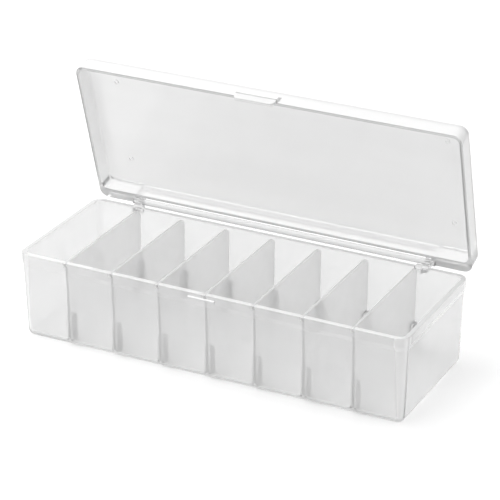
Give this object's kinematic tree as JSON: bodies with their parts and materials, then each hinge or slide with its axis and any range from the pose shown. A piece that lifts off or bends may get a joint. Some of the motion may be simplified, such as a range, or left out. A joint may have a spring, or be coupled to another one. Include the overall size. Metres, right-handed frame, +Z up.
{
  "type": "parts sorting tray",
  "caption": "Long clear plastic box with lift-out divider plates and a hinged lid, for sorting small parts into compartments.",
  "frame": {"origin": "centre of the flat underside of the tray", "axes": "+X along the length, +Y towards the hinge, +Z up; the lid stands open at about 75 degrees"},
  "size_m": [0.2226, 0.0969, 0.1353],
  "materials": {
    "tray_plastic": "frosted clear, satin",
    "lid_plastic": "frosted clear, satin",
    "rod_plastic": "clear, polished",
    "divider_plastic": "frosted clear, satin"
  },
  "bodies": {
    "tray": {"tray": "tray_plastic"},
    "lid": {"lid": "lid_plastic", "hinge_rod": "rod_plastic"},
    "divider_1": {"divider_1": "divider_plastic"},
    "divider_2": {"divider_2": "divider_plastic"},
    "divider_3": {"divider_3": "divider_plastic"},
    "divider_4": {"divider_4": "divider_plastic"},
    "divider_5": {"divider_5": "divider_plastic"},
    "divider_6": {"divider_6": "divider_plastic"},
    "divider_7": {"divider_7": "divider_plastic"}
  },
  "joints": [
    {"name": "lid_hinge", "type": "hinge", "parent": "tray", "child": "lid", "pos_m": [0, 0.0456, 0.0493], "axis": [-1, 0, 0], "range_deg": [-74.5, 105.5]},
    {"name": "divider_1_lift", "type": "slide", "parent": "tray", "child": "divider_1", "axis": [0, 0, 1], "range_m": [0, 0.05]},
    {"name": "divider_2_lift", "type": "slide", "parent": "tray", "child": "divider_2", "axis": [0, 0, 1], "range_m": [0, 0.05]},
    {"name": "divider_3_lift", "type": "slide", "parent": "tray", "child": "divider_3", "axis": [0, 0, 1], "range_m": [0, 0.05]},
    {"name": "divider_4_lift", "type": "slide", "parent": "tray", "child": "divider_4", "axis": [0, 0, 1], "range_m": [0, 0.05]},
    {"name": "divider_5_lift", "type": "slide", "parent": "tray", "child": "divider_5", "axis": [0, 0, 1], "range_m": [0, 0.05]},
    {"name": "divider_6_lift", "type": "slide", "parent": "tray", "child": "divider_6", "axis": [0, 0, 1], "range_m": [0, 0.05]},
    {"name": "divider_7_lift", "type": "slide", "parent": "tray", "child": "divider_7", "axis": [0, 0, 1], "range_m": [0, 0.05]}
  ]
}
